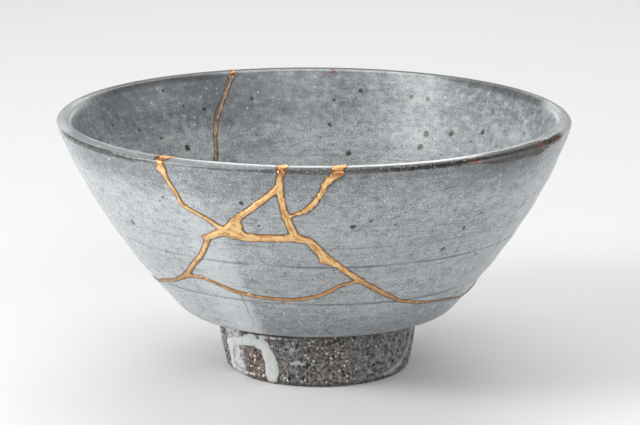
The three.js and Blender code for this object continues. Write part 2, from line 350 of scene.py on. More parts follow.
# %% Labels
SHARDS = ["base_with_foot", "left_wall_shard", "right_wall_shard", "front_left_rim_shard",
          "front_right_rim_shard", "centre_shard", "front_lower_shard"]
LOOPS = {
    "front_left_rim_shard": ["left_rim", "-left_leg", "-centre_rim"],
    "front_right_rim_shard": ["centre_rim", "right_leg", "-right_rim"],
    "centre_shard": ["left_leg", "band", "-elbow", "-right_leg"],
    "front_lower_shard": ["band", "right_fall", "-low_bow", "-left_fall"],
}
BASE, LEFT, RIGHT = range(3)  # the first three shards, which are no loops
BACK_ANGLE = math.radians(BACK_LOW[0])


def crack_line(name):
    """Angle and share along one crack, backwards where its name has a minus sign."""
    line = np.stack(cracks[name.lstrip("-")][:2], axis=-1)
    return line[::-1] if name.startswith("-") else line


def in_loop(angle, share, names):
    """True where a line drawn up from the spot crosses the closed loop an odd number of times."""
    loop = np.concatenate([crack_line(name) for name in names])
    inside = np.zeros(np.shape(angle), bool)
    for (a, low), (b, high) in zip(loop, np.roll(loop, -1, axis=0)):
        between = (a > angle) != (b > angle)
        cross = low + (angle - a) / (b - a if b != a else 1.0) * (high - low)
        inside ^= between & (share < cross)
    return inside


def shard_labels(angle, share):
    """The number of the shard at each angle and share of the wall."""
    low = np.concatenate([crack_line("-low_left"), crack_line("low_bow"), crack_line("low_right")])
    back = crack_line("-back_rim")
    turned = np.where(angle < BACK_ANGLE, angle + 2 * math.pi, angle)
    base_top = np.interp(turned, low[:, 0], low[:, 1])
    left = (angle > np.interp(share, back[:, 1], back[:, 0])) & (angle < np.radians(HUB_LEFT[0]))
    label = np.where(left, LEFT, RIGHT)
    for number, name in enumerate(SHARDS):
        if name in LOOPS:
            label[in_loop(angle, share, LOOPS[name])] = number
    return np.where(share < base_top, BASE, label)


front_label = shard_labels(np.array([[-0.2]]), np.array([[0.45]]))[0, 0]
print("a spot at the front, a little left of the middle, belongs to", SHARDS[front_label])

# %% [markdown]
# ## Painted strokes as a distance
# Gold lines and glaze runs are strokes with soft outlines. They could be painted on a map, but its pixels
# would show on a fine line. Instead the surface keeps one number for each: how far a spot lies inside the
# stroke, below zero outside. Such a number stays sharp on a coarse grid. The shader and the mesh both read
# it, so colour and relief agree.

# %% Stroke distance on a grid
REACH = 3.0  # how far outside a stroke its distance is still worked out
SMALLEST_RADIUS = 5.0  # near the poles the window of a stroke goes no wider than for this radius


def stroke_depth(angles, places, path):
    """Largest of half width minus distance over the path's points: its depth inside the stroke in mm.

    Each point of the path touches only the window of the grid within reach of it.
    """
    depth = np.full((len(places), len(angles)), -REACH)
    turn = angles[1] - angles[0]
    radius = np.interp(places, way, way_points[:, 0])
    for angle, place, width in np.stack(path, axis=-1):
        half = width / 2
        first, last = np.searchsorted(places, [place - half - REACH, place + half + REACH])
        if last <= first:
            continue
        span = int((half + REACH) / (max(radius[first:last].min(), SMALLEST_RADIUS) * turn)) + 1
        middle = int(round((angle - angles[0]) / turn))
        column = np.arange(middle - span, middle + span + 1)
        across = radius[first:last, None] * (angles[0] + column * turn - angle)
        along = (places[first:last] - place)[:, None]
        window = np.ix_(np.arange(first, last), column % len(angles))
        depth[window] = np.maximum(depth[window], half - np.hypot(across, along))
    return depth


def smooth_stroke(angles, places, points, radius):
    """Depth inside one smooth stroke through points of angle in degrees, way and width, at that radius."""
    angle, place, width = points
    path = smooth_path(np.stack([np.radians(angle) * radius, place, width], axis=-1))
    return stroke_depth(angles, places, (path[:, 0] / radius, path[:, 1], path[:, 2]))


def joined(first, second, fillet):
    """The larger of two depths, with a rounded fillet where they are about equal and in reach."""
    near = np.maximum(fillet - np.abs(first - second), 0) / fillet
    rounded = np.maximum(first, second) + near * near * fillet / 4
    return np.where(second > -REACH, rounded, first)


print("strokes reach", REACH, "mm beyond their edge")

# %% Gold lines as strokes
GOLD_FILLET = 0.8
AT_RIM = 0.999  # a crack above this share of the wall lies on the lip
KNOBS = [(-27.9, 51.9, 1.7), (-33.9, 72.4, 2.7), (2.2, 46.6, 2.3), (-20, 54, 3.4), (-17.8, 54.9, 2.6),
         (-18.5, 56.7, 3.8)]  # angle, height and width
LIP_PATCHES = [[(-34.8, 1.004, 2.2), (-33.3, 1.007, 2.8), (-30.6, 1.013, 0.8)],
               [(-7.2, 1.004, 1.4), (-6.5, 1.008, 1.7), (-5.8, 1.012, 1.3)],
               [(4.6, 1.004, 2.0), (5.8, 1.008, 2.2), (6.9, 1.012, 1.4)]]  # angle, mark and width


def crack_sides(path):
    """One crack's path on the outside and on the inside of the wall, both meeting on the lip."""
    angle, share, width = path
    over = share >= AT_RIM
    outer = np.where(over, LIP_CREST, place_of(share))
    inner = np.where(over, LIP_CREST, place_of(2 - np.minimum(share, LIP_SHARE)))
    return (angle, outer, width), (angle, inner, width)


def gold_depth(angles, places):
    """Depth inside the gold: cracks on both faces, knobs where the brush rested, patches on the lip."""
    depth = np.full((len(places), len(angles)), -REACH)
    for path in cracks.values():
        for side in crack_sides(path):
            depth = joined(depth, stroke_depth(angles, places, side), GOLD_FILLET)
    angle, height, width = np.array(KNOBS).T
    knobs = np.radians(angle), place_of(share_of(height)), width
    depth = joined(depth, stroke_depth(angles, places, knobs), GOLD_FILLET)
    for patch in LIP_PATCHES:
        angle, mark, width = np.array(patch).T
        line = smooth_stroke(angles, places, (angle, place_of(mark), width), RIM_RADIUS)
        depth = joined(depth, line, GOLD_FILLET)
    return depth


print(len(KNOBS), "knobs and", len(LIP_PATCHES), "patches on the lip")

# %% [markdown]
# ## The skin of the bowl
# One grid covers the whole bowl. Rows follow the outline, closer together on the wall and the foot, and
# columns go round. The wall's rows sit at the same shares outside and inside, so a crack can be closed with
# faces straight through the wall. The foot was left rough, and glaze ran down over it before the firing. A
# Displace modifier could roughen it, but the runs have to stay smooth. So noise waves lift only the bare
# clay, and the runs stand up as thick smooth tongues.

# %% Grid of the skin
COLUMNS = 576
WALL_ROWS = 104
LIP_ROWS = 12
FLOOR_ROWS = 25
HOLLOW_ROWS = 10
HOLLOW_END = -0.62  # mark on the hollow's side, where closer rows start
FOOT_SPANS = [(-0.60, -0.46, 8), (-0.45, -0.15, 44), (-0.14, 0.07, 18)]  # first mark, last mark, rows
POLE_GAP = 0.5  # the first and last rows stay this far from the axis
angles = np.linspace(-math.pi, math.pi, COLUMNS, endpoint=False)
shares = np.linspace(HEEL_SHARE, LIP_SHARE, WALL_ROWS)
hollow_places = np.linspace(POLE_GAP, place_of(HOLLOW_END), HOLLOW_ROWS)
foot_spans = [np.linspace(place_of(first), place_of(last), rows) for first, last, rows in FOOT_SPANS]
foot_places = np.concatenate([hollow_places] + foot_spans)
lip_places = np.linspace(place_of(LIP_SHARE), place_of(2 - LIP_SHARE), LIP_ROWS + 2)[1:-1]
floor_places = np.linspace(place_of(FLOOR_MARK), way[-1] - POLE_GAP, FLOOR_ROWS + 1)[1:]
inside_places = place_of(2 - shares[::-1])
places = np.concatenate([foot_places, place_of(shares), lip_places, inside_places, floor_places])
grid_angle, grid_place = np.meshgrid(angles, places)
outer_row = len(foot_places)  # lowest row of the outside
rim_row = outer_row + WALL_ROWS - 1  # its highest
lip_end = rim_row + LIP_ROWS + 1  # highest row of the inside
inner_row = lip_end + WALL_ROWS - 1  # its lowest
print(len(places), "rows by", COLUMNS, "columns")

# %% Glaze runs on the foot
RUNS = [
    [(-65, 9.6, 2.2), (-58.4, 10.8, 2.7), (-48.8, 11.9, 2.8), (-40.1, 12.5, 2.9), (-33, 12.4, 3.0)],
    [(-33, 12.4, 3.0), (-31, 11, 3.8), (-28.8, 8.4, 4.3), (-28.2, 5.5, 4.6), (-29, 3, 4.3),
     (-29.4, 1.9, 3.6)],
    [(-61.5, 9.8, 2.9), (-63, 6, 2.6), (-64, 2.6, 2.2)],
    [(-64, 2.4, 1.3), (-57, 1.7, 0.9), (-50, 1.4, 0.8), (-42, 1.2, 0.6)],
    [(-46, 14.2, 0.7), (-37.7, 14.5, 0.8), (-24.3, 14.75, 0.8), (-11.3, 15.0, 0.7)],
    [(44, 1.4, 1.0), (52, 2.4, 1.8), (61, 4.2, 1.8), (66, 7, 1.2)],
    [(74, 15.5, 1.6), (70, 11, 1.8), (68, 7.5, 1.4)],
    [(112, 15.5, 2.5), (115, 10, 3), (117, 6, 2.4)],
    [(170, 16, 3), (174, 12, 3.4), (178, 8.5, 2.6)],
    [(-140, 15.5, 2.6), (-138, 11, 2.8)],
]  # angle, height and width
RUN_RADIUS = 28.5  # of the foot, where the runs lie
RUN_FILLET = 1.2
FOOT_OUTSIDE = (-0.44, -0.15)  # marks that the foot's outside lies between


def foot_place(height):
    """The way along the outline at a height on the outside of the foot."""
    outside = (way_marks > FOOT_OUTSIDE[0]) & (way_marks < FOOT_OUTSIDE[1])
    return np.interp(height, way_points[outside, 1], way[outside])


def run_depth(angles, places):
    """Depth inside the glaze that ran over the foot."""
    depth = np.full((len(places), len(angles)), -REACH)
    for run in RUNS:
        angle, height, width = np.array(run, float).T
        line = smooth_stroke(angles, places, (angle, foot_place(height), width), RUN_RADIUS)
        depth = joined(depth, line, RUN_FILLET)
    return depth


glaze_run = run_depth(angles, places)
print(len(RUNS), "glaze runs, at most", glaze_run.max().round(2), "mm deep")

# %% Relief of the foot
FOOT_RING = place_of(-0.5)  # the standing ring
FOOT_TOP = place_of(-0.17)  # just past the top of the foot
FOOT_OVER = 1.5  # the clay runs on this far past that
FOOT_FADE = 2.0
CLAY_RADIUS = 28  # of the foot, for the noise
COARSE_GRAIN = 2.6  # wavelengths of the clay's noise
FINE_GRAIN = 1.2
COARSE_SHARE = 0.8
CLAY_ROUGH = 0.15
CLAY_CAP = 1.2  # grains are cut off above this
CLAY_SUNK = 0.12  # bare clay lies below the glaze
RUN_WAVER = 0.13
RUN_THICK = 0.32
RUN_SWELL = 1.1  # a run is at its thickest this far inside its edge
foot_end = FOOT_TOP + FOOT_OVER
foot_mask = fade(grid_place, FOOT_RING, FOOT_RING + FOOT_FADE)
foot_mask = foot_mask * fade(grid_place, foot_end, foot_end - FOOT_FADE)
glaze_run = glaze_run + RUN_WAVER * waves(grid_angle, grid_place, CLAY_RADIUS, COARSE_GRAIN, seed=11)
grains = COARSE_SHARE * waves(grid_angle, grid_place, CLAY_RADIUS, COARSE_GRAIN, seed=5)
grains = grains + waves(grid_angle, grid_place, CLAY_RADIUS, FINE_GRAIN, seed=6)
clay_lift = CLAY_ROUGH * np.minimum(grains, CLAY_CAP) - CLAY_SUNK
run_lift = RUN_THICK * np.sqrt(fade(glaze_run, 0, RUN_SWELL))
foot_lift = foot_mask * np.where(glaze_run > 0, run_lift, clay_lift)
skin_lift = wheel_relief(grid_angle, grid_place) + foot_lift
print("glaze runs cover", int((glaze_run * foot_mask > 0).sum()), "grid points of the foot")

# %% [markdown]
# ## Seven closed shards
# A shard is the cells with its label: outside, inside and, at the rim, over the lip. A Solidify modifier
# could give each its thickness, but the inside has a form of its own. So where the next cell belongs to
# another shard the border is closed with a face through the wall. The faces run the same way round as their
# neighbours, so every shard is a closed body with its faces outwards.

# %% Faces of a shard
def quads(rows, columns, count):
    """Corner numbers of the cells of a grid with that many columns, listed as seen from outside."""
    right = (columns + 1) % count
    below = rows * count
    above = below + count
    return np.stack([below + columns, below + right, above + right, above + columns], axis=-1)


def through(row, column, next_row, next_column):
    """A face through the wall under an edge of the outer skin, from its end back to its start."""
    first = (outer_row + row) * COLUMNS + column
    last = (outer_row + next_row) * COLUMNS + next_column
    first_in = (inner_row - row) * COLUMNS + column
    last_in = (inner_row - next_row) * COLUMNS + next_column
    return np.stack([last, first, first_in, last_in], axis=-1)


def shard_faces(number):
    """Grid cells of one shard, its cut faces through the wall, and its cut faces across the lip."""
    wall = cell_label[outer_row:rim_row]
    mine = wall == number
    skin = quads(*np.nonzero(cell_label == number), COLUMNS)
    row, col = np.nonzero(mine & (np.roll(wall, -1, axis=1) != number))
    cuts = [through(row, (col + 1) % COLUMNS, row + 1, (col + 1) % COLUMNS)]
    row, col = np.nonzero(mine & (np.roll(wall, 1, axis=1) != number))
    cuts.append(through(row + 1, col, row, col))
    row, col = np.nonzero(mine[:-1] & (wall[1:] != number))
    cuts.append(through(row + 1, (col + 1) % COLUMNS, row + 1, col))
    row, col = np.nonzero(mine[1:] & (wall[:-1] != number))
    cuts.append(through(row + 1, col, row + 1, (col + 1) % COLUMNS))
    rim = np.arange(rim_row, lip_end + 1)
    top = mine[-1]
    after = (np.nonzero(top & ~np.roll(top, -1))[0] + 1) % COLUMNS
    before = np.nonzero(top & ~np.roll(top, 1))[0]
    lips = [rim[None, ::-1] * COLUMNS + after[:, None], rim[None, :] * COLUMNS + before[:, None]]
    return np.concatenate([skin] + cuts).tolist() + np.concatenate(lips).tolist()


cell_angle = angles[None, :] + math.pi / COLUMNS
cell_share = (shares[:-1, None] + shares[1:, None]) / 2
wall_label = shard_labels(*np.broadcast_arrays(cell_angle, cell_share))
cell_label = np.full((len(places) - 1, COLUMNS), BASE)
cell_label[outer_row:rim_row] = wall_label
cell_label[rim_row:lip_end] = wall_label[-1]
cell_label[lip_end:inner_row] = wall_label[::-1]
print("cells of each shard:", np.bincount(wall_label.ravel(), minlength=len(SHARDS)))

# %% Points of the skin and the numbers that they keep
LIP_REACH = 9  # the way from the lip's crest is kept up to this
skin = on_bowl(grid_angle, grid_place, skin_lift).reshape(-1, 3)
poles = on_bowl(np.zeros(2), np.array([0, way[-1]]))
skin = np.concatenate([skin, poles])
skin_numbers = {
    "glaze_run": np.where(foot_mask > 0, glaze_run, -REACH),
    "gold_edge": gold_depth(angles, places),
    "foot": foot_mask,
    "lip_way": np.clip(LIP_CREST - grid_place, -LIP_REACH, LIP_REACH),
}
skin_numbers = {title: np.append(grid.ravel(), grid[[0, -1], 0]) for title, grid in skin_numbers.items()}
print(len(skin), "points, each with", list(skin_numbers))

# %% Putting the shards in
SHARP_TURN = math.radians(50)


def add_piece(name, points, faces, numbers, node):
    """A mesh of the points that the faces use, with one number per point for each title, on the frame."""
    used = np.unique(np.concatenate([np.ravel(face) for face in faces]))
    renumber = np.zeros(len(points), int)
    renumber[used] = np.arange(len(used))
    mesh = bpy.data.meshes.new(name)
    mesh.from_pydata(points[used], [], [renumber[face].tolist() for face in faces])
    for title, values in numbers.items():
        layer = mesh.attributes.new(title, "FLOAT", "POINT")
        layer.data.foreach_set("value", values[used].astype(np.float32))
    mesh.shade_smooth()
    mesh.set_sharp_from_angle(angle=SHARP_TURN)
    piece = bpy.data.objects.new(name, mesh)
    bpy.context.scene.collection.objects.link(piece)
    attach(piece, "root")
    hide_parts(node)
    print(name, len(mesh.vertices), "points", sum(len(face) - 2 for face in faces), "triangles")
    return piece


around = np.arange(COLUMNS)
onward = (around + 1) % COLUMNS
last_row = (len(places) - 1) * COLUMNS
under_fan = np.stack([onward, around, np.full(COLUMNS, len(skin) - 2)], axis=-1)
floor_fan = np.stack([last_row + around, last_row + onward, np.full(COLUMNS, len(skin) - 1)], axis=-1)
shards = []
for number, node in enumerate(SHARDS):
    faces = shard_faces(number)
    if number == BASE:
        faces += under_fan.tolist() + floor_fan.tolist()
    skin_name = node.replace("_shard", "") + "_skin"
    shards.append(add_piece(skin_name, skin, faces, skin_numbers, node))

# %% [markdown]
# ## The gold lacquer
# Lacquer is brushed over each joint and swells into a low rounded line, thicker where lines meet. Tubes along
# the cracks would show a crease at every meeting. Instead the lines are one field of depth on a fine grid
# over both faces and the lip. Cells that touch the gold are kept, and their outer corners slide onto
# the outline, so the edge is smooth. Under it a second skin closes the piece inside the wall.

# %% Wavering edge of the gold
GOLD_COLUMNS = 1440
GOLD_STEP = 0.3
GOLD_MARKS = (0.05, FLOOR_MARK + 0.02)  # the gold's grid runs between these
MEND_RADIUS = 65  # about the middle of the mended part
LONG_WAVER = 0.07
LONG_WAVER_LENGTH = 3.5
SHORT_WAVER = 0.05
SHORT_WAVER_LENGTH = 1.6
WAVER_REACH = 1.5  # the edge wavers only this near to the gold
TORN_WAVER = 0.08  # more of the short waves where the right rim's edge is torn
TORN_ANGLE = 2
TORN_WIDTH = 5
TORN_ABOVE = 0.74
STEEP_LEAST = 0.3
SLIDE_MOST = 0.5
gold_angles = np.linspace(-math.pi, math.pi, GOLD_COLUMNS, endpoint=False)
gold_places = np.arange(*place_of(GOLD_MARKS), GOLD_STEP)
gold_angle, gold_place = np.meshgrid(gold_angles, gold_places)
torn = bell(np.degrees(gold_angle) - TORN_ANGLE, TORN_WIDTH) * (gold_place > place_of(TORN_ABOVE))
waver = LONG_WAVER * waves(gold_angle, gold_place, MEND_RADIUS, LONG_WAVER_LENGTH, seed=21)
short_waves = waves(gold_angle, gold_place, MEND_RADIUS, SHORT_WAVER_LENGTH, seed=23)
waver = waver + (SHORT_WAVER + TORN_WAVER * torn) * short_waves
depth = gold_depth(gold_angles, gold_places)
depth = depth + np.where(depth > -WAVER_REACH, waver, 0)
gold_radius = np.interp(gold_places, way, way_points[:, 0])[:, None]
column_width = gold_radius * (gold_angles[1] - gold_angles[0])
slope_up = np.gradient(depth, GOLD_STEP, axis=0)
slope_round = (np.roll(depth, -1, axis=1) - np.roll(depth, 1, axis=1)) / (2 * column_width)
steep = np.maximum(slope_up**2 + slope_round**2, STEEP_LEAST)
slide = np.where(depth < 0, -np.clip(depth, -SLIDE_MOST, 0) / steep, 0)
gold_angle = gold_angle + slide * slope_round / gold_radius
gold_place = gold_place + slide * slope_up
print("gold lies on", int((depth > 0).sum()), "of", depth.size, "grid points")

# %% Swell of the gold
GOLD_EDGE = 0.05  # height of a line's edge over the wall
GOLD_PROUD = 0.29  # how far its middle swells over that
GOLD_SWELL = 0.75  # a line is at its highest this far inside its edge
GOLD_SUNK = 0.4  # the underside lies this deep in the wall
BRUSH_WAVE = 0.03
BRUSH_LENGTH = 4.0
CREST_WIDTH = 3
CREST_FLAT = 0.5  # share of the swell that is rubbed off on the lip's crest
swell = 1 - (1 - fade(depth, 0, GOLD_SWELL)) ** 2
proud = swell * (GOLD_PROUD + BRUSH_WAVE * waves(gold_angle, gold_place, MEND_RADIUS, BRUSH_LENGTH, seed=22))
rubbed = 1 - CREST_FLAT * bell(gold_place - LIP_CREST, CREST_WIDTH)
wall_lift = wheel_relief(gold_angle, gold_place)
gold_top = on_bowl(gold_angle, gold_place, wall_lift + GOLD_EDGE + proud * rubbed).reshape(-1, 3)
gold_under = on_bowl(gold_angle, gold_place, wall_lift - GOLD_SUNK).reshape(-1, 3)
print("gold swells by up to", proud.max().round(2), "mm")

# %% Gold mesh
inside = depth > 0
right = np.roll(inside, -1, axis=1)
kept = (inside | right)[:-1] | (inside | right)[1:]
top_faces = quads(*np.nonzero(kept), GOLD_COLUMNS)
count = len(gold_top)
edges = np.concatenate([top_faces[:, [k, (k + 1) % 4]] for k in range(4)])
forward = edges[:, 0] * count + edges[:, 1]
backward = edges[:, 1] * count + edges[:, 0]
start, end = edges[~np.isin(forward, backward)].T
skirt = np.stack([end, start, start + count, end + count], axis=-1)
gold_faces = np.concatenate([top_faces, top_faces[:, ::-1] + count, skirt]).tolist()
gold_points = np.concatenate([gold_top, gold_under])
gold_numbers = {"depth": np.tile(depth.ravel(), 2)}
gold = add_piece("gold_lacquer_lines", gold_points, gold_faces, gold_numbers, "gold_seams")

# %% [markdown]
# ## Shader arithmetic
# A finish is a small sum of masks: noise, spots, bands of height. In Blender each plus or times is a Math
# node. They could be placed by hand in the node editor, but a class that wraps one socket lets Python's own
# signs add those nodes, so a finish reads as a formula. Every other node comes from one method, which
# sets its settings first and its sockets after.

# %% A value in a material
class Shade:
    """One output socket in a node tree. Arithmetic on it adds Math nodes."""

    def __init__(self, tree, socket=None):
        self.tree = tree
        self.socket = socket

    def node(self, kind, settings, values, output=0):
        """Adds one node: settings first, then numbers or links into its sockets; returns one output."""
        made = self.tree.nodes.new(kind)
        for name, setting in settings.items():
            setattr(made, name, setting)
        for place, value in values.items():
            if isinstance(value, Shade):
                self.tree.links.new(value.socket, made.inputs[place])
            else:
                made.inputs[place].default_value = value
        return Shade(self.tree, made.outputs[output])

    def out(self, output):
        """Another output of the same node."""
        return Shade(self.tree, self.socket.node.outputs[output])

    def math(self, operation, *others):
        """One Math node on this value and the others."""
        return self.node("ShaderNodeMath", {"operation": operation}, dict(enumerate((self,) + others)))

    def __add__(self, other):
        return self.math("ADD", other)

    def __sub__(self, other):
        return self.math("SUBTRACT", other)

    def __rsub__(self, other):
        return self.math("MULTIPLY", -1.0).math("ADD", other)

    def __mul__(self, other):
        return self.math("MULTIPLY", other)

    def __truediv__(self, other):
        return self.math("DIVIDE", other)

    __radd__ = __add__
    __rmul__ = __mul__

    def larger(self, other):
        """The larger of this value and another."""
        return self.math("MAXIMUM", other)

    def without_sign(self):
        """The value's distance from 0."""
        return self.math("ABSOLUTE")

    def ramp(self, start, end):
        """0 at start and 1 at end, eased at both, whichever is larger."""
        values = {"Value": self, "From Min": start, "From Max": end}
        return self.node("ShaderNodeMapRange", {"interpolation_type": "SMOOTHSTEP"}, values)

    def between(self, start, full, last, end):
        """1 from full to last, easing to 0 at start and at end."""
        return self.ramp(start, full) * self.ramp(end, last)

    def band(self, middle, half, soft):
        """1 within half of the middle, easing to 0 over the soft distance."""
        return (self - middle).without_sign().ramp(half + soft, half)

    def blend(self, first, second):
        """A colour: the first where this mask is 0, the second where it is 1.

        A Mix node has sockets for every data type. Those for colours are inputs 6 and 7 and output 2.
        """
        return self.node("ShaderNodeMix", {"data_type": "RGBA"}, {0: self, 6: first, 7: second}, 2)


print("a finish is written with", [name for name in vars(Shade) if not name.startswith("_")])

# %% Helpers for a finish
FLECK_CORE = 0.5
CHANCE_STEP = 0.03  # a soft step between cells with a fleck and without


def new_finish(title):
    """An empty material."""
    material = bpy.data.materials.new(title)
    material.use_nodes = True
    return material


def spot_in(material):
    """The shading point's Object coordinates in a material."""
    return Shade(material.node_tree).node("ShaderNodeTexCoord", {}, {}, "Object")


def finish_surface(material, numbers, links):
    """Sets plain numbers on the material's own shader and links what varies over the surface."""
    tree = material.node_tree
    shader = tree.nodes["Principled BSDF"]
    for name, number in numbers.items():
        shader.inputs[name].default_value = number
    for name, value in links.items():
        tree.links.new(value.socket, shader.inputs[name])


def kept_number(spot, title):
    """A number that the mesh keeps for each of its points."""
    return spot.node("ShaderNodeAttribute", {"attribute_name": title}, {}, "Fac")


def noise(spot, scale, detail=2.0, rough=0.5):
    """Cloudy noise between 0 and 1, that many clouds to a metre."""
    values = {"Vector": spot, "Scale": scale, "Detail": detail, "Roughness": rough}
    return spot.node("ShaderNodeTexNoise", {}, values)


def swing(spot, scale, detail=2.0, rough=0.5):
    """The same noise moved down by a half, so that it swings about 0."""
    return noise(spot, scale, detail, rough) - 0.5


def flecks(spot, scale, size, share):
    """Round dots: near enough to a cell's own point, in that share of the cells."""
    cell = spot.node("ShaderNodeTexVoronoi", {}, {"Vector": spot, "Scale": scale})
    chance = cell.node("ShaderNodeSeparateColor", {}, {"Color": cell.out("Color")})
    return cell.ramp(size, size * FLECK_CORE) * chance.ramp(share, share - CHANCE_STEP)


print("a fleck is full within", FLECK_CORE, "of its size")

# %% Inside or outside
TO_MM = 1000.0
TO_DEGREES = math.degrees(1)
CONE_SLOPE = 0.627
CONE_RADIUS = 26.5


def past_cone(radius, height):
    """How far out of a cone near the inner face of the wall: well above 0 on the outside of the wall."""
    return radius - height * CONE_SLOPE - CONE_RADIUS


print("the cone's radius is", CONE_RADIUS + CONE_SLOPE * WIDEST_HEIGHT, "mm at the rim")

# %% [markdown]
# ## The glaze
# The glaze is a satin blue-grey that broke into pale and dark grains in the kiln, drawn out sideways by the
# wheel. It could be painted on a map, but a map would need a seam somewhere. Noise worked out from the spot's
# own place has none. Painted light makes a pale band at the front left and lightens the left of the outside.
# Painted shade darkens the bottom of the wall, the band under the rim, a band on the right and the inside,
# and partly makes the darker streaky patches high on the inside. One material serves all shards, since they
# are one bowl. Angles are in degrees, heights and radii in millimetres.

# %% Where a spot lies on the bowl
stoneware = new_finish("blue_grey_glaze")
spot = spot_in(stoneware)
parts = spot.node("ShaderNodeSeparateXYZ", {}, {"Vector": spot})
height = parts.out("Z") * TO_MM
sideways = parts.out("X") * TO_MM - LEAN * (1 - height / HEIGHT)
backways = parts.out("Y") * TO_MM
front_angle = sideways.math("ARCTAN2", backways * -1.0) * TO_DEGREES
from_front = front_angle.without_sign()
radius = (sideways * sideways + backways * backways).math("SQRT")
outer = past_cone(radius, height).ramp(-0.5, 0.5)
run = kept_number(spot, "glaze_run")
edge = kept_number(spot, "gold_edge")
foot = kept_number(spot, "foot")
lip_way = kept_number(spot, "lip_way")
print("a spot's place uses", len(stoneware.node_tree.nodes), "nodes")

# %% Glaze grain and clouds, with painted light and shade
GLAZE_DARK = (0.14, 0.155, 0.165, 1)
GLAZE_PALE = (0.53, 0.56, 0.57, 1)
DRAWN_OUT = (0.22, 0.22, 1.3)
drawn_out = spot.node("ShaderNodeMapping", {}, {"Vector": spot, "Scale": DRAWN_OUT})
cloud = swing(spot, 30.0, detail=3.0)
mottle = swing(spot, 420.0, detail=3.0, rough=0.6)
grain = swing(spot, 2600.0, rough=0.7)
streak = swing(drawn_out, 900.0, detail=3.0, rough=0.6)
tone = 0.5 + cloud * 0.35 + streak * 0.55
tone = tone + mottle * (0.95 - outer * 0.35) + grain * (1.2 + outer * 0.5)
wander = swing(spot, 45.0) * 9.0
# Painted light: a pale band on the front left of the outside, strongest low down, with a sharp right edge.
light_band_edge = front_angle + wander * 0.2 + height.ramp(45.0, 66.0) * 5.0
painted_light_band = (front_angle + wander).ramp(-38.0, -29.0) * light_band_edge.ramp(-19.8, -24.2)
tone = tone + painted_light_band * outer * (0.14 + height.ramp(60.0, 28.0) * 0.16)
# Painted shade: the outside darkens low on the wall, more at its very bottom, and under the rim.
low_wall_shade = height.ramp(34.0, 24.0) * front_angle.between(-24.0, -18.0, 45.0, 75.0)
bottom_shade = height.ramp(28.0, 20.5) * front_angle.between(-26.0, -18.0, 50.0, 80.0)
under_rim_shade = front_angle.band(-45.0, 13.0, 14.0) * 0.24 + front_angle.band(46.0, 9.0, 11.0) * 0.18 + 0.16
tone = tone - (low_wall_shade * 0.12 + bottom_shade * 0.14 + height.ramp(61.0, 72.0) * under_rim_shade) * outer
# Painted light lightens the left of the outside, and painted shade darkens a band on its right.
tone = tone + (front_angle.ramp(-16.0, -36.0) * 0.05 - front_angle.band(46.0, 9.0, 12.0) * 0.05) * outer
# Painted shade darkens the inside, most at its left.
tone = tone + (sideways.ramp(-15.0, 60.0) * 0.22 - 0.25) * (1 - outer)
# Darker streaky patches high on the inside, at the right and back left. At the right their sharp edge is
# painted shade where a reflected light band ends.
inside_right_dark_and_shade = front_angle.ramp(92.0, 104.0) * (front_angle + wander * 0.3).ramp(150.0, 145.0)
inside_dark_and_shade = inside_right_dark_and_shade * 0.24 + front_angle.band(-134.0, 18.0, 12.0) * 0.14
inside_dark_patches = noise(spot, 260.0, detail=3.0).ramp(0.3, 0.55)
tone = tone - inside_dark_and_shade * height.ramp(63.0, 71.0) * (1 - outer) * inside_dark_patches
glaze = tone.ramp(0.0, 1.0).blend(GLAZE_DARK, GLAZE_PALE)
print("glaze grain brings it to", len(stoneware.node_tree.nodes), "nodes")

# %% [markdown]
# ## Iron spots and wheel lines
# Iron in the clay bled through the glaze as brown and black spots. Each could be a small disc of its own,
# but a disc would lie on the glaze and not in it. So they are colour. The larger ones that can be told apart
# are placed one by one, by angle, height and size; the rest are dots scattered by chance. The wheel left
# fine grooves, where the glaze is dark, and a short hairline runs down from the low seam.

# %% Iron spots
OUTSIDE_SPOTS = [(9, 57.4, 0.75), (13, 59.1, 0.5), (19, 57.7, 0.4), (39, 53.5, 0.6), (35, 47.4, 0.6),
                 (50, 42.8, 0.5), (-57, 53.7, 0.5), (-52, 52.1, 0.7), (-36, 63.3, 0.4), (-16, 64.3, 0.6),
                 (-13, 57.4, 0.35), (43, 57.5, 0.5), (62.3, 57.3, 0.4), (61.9, 56.4, 0.5), (61.5, 55.5, 0.4),
                 (59.2, 51, 0.4), (58.8, 50.1, 0.45), (110, 60, 0.7), (-120, 48, 0.6), (170, 55, 0.7)]
INSIDE_SPOTS = [(-138, 70.3, 0.5), (-143, 64.9, 0.5), (-149, 63.3, 0.6), (-115, 64, 0.6), (-125, 60.6, 0.5),
                (-132, 56.9, 0.6), (-140, 52.7, 0.9), (-163, 65.4, 0.7), (175, 64.5, 0.5), (176, 56.9, 0.5),
                (154, 66.8, 0.8), (149, 66.7, 0.7), (147, 56.3, 0.9), (139, 57.4, 0.8), (148, 52.3, 0.9),
                (128, 59.8, 0.7), (168, 67.5, 0.6), (170, 48.5, 0.8), (-60, 50, 0.7), (30, 45, 0.8)]
SPOT_WARP = 0.0012  # metres, the whole range in which a spot's outline strays
PALE_FLECK = (0.58, 0.60, 0.60, 1)
DARK_FLECK = (0.10, 0.095, 0.09, 1)
IRON_HALO = (0.13, 0.10, 0.075, 1)
IRON_CORE = (0.035, 0.026, 0.02, 1)


def vector_math(operation, values, output=0):
    """One Vector Math node in the glaze."""
    return spot.node("ShaderNodeVectorMath", {"operation": operation}, values, output)


def nearest_spot(where, spots, mark_of):
    """Distance to the nearest listed spot, as a share of that spot's own radius."""
    nearest = None
    for angle, level, size in spots:
        middle = on_bowl(math.radians(angle), place_of(mark_of(share_of(level))))
        away = vector_math("DISTANCE", {0: where, 1: middle}, "Value") / (size * MM)
        nearest = away if nearest is None else nearest.math("MINIMUM", away)
    return nearest


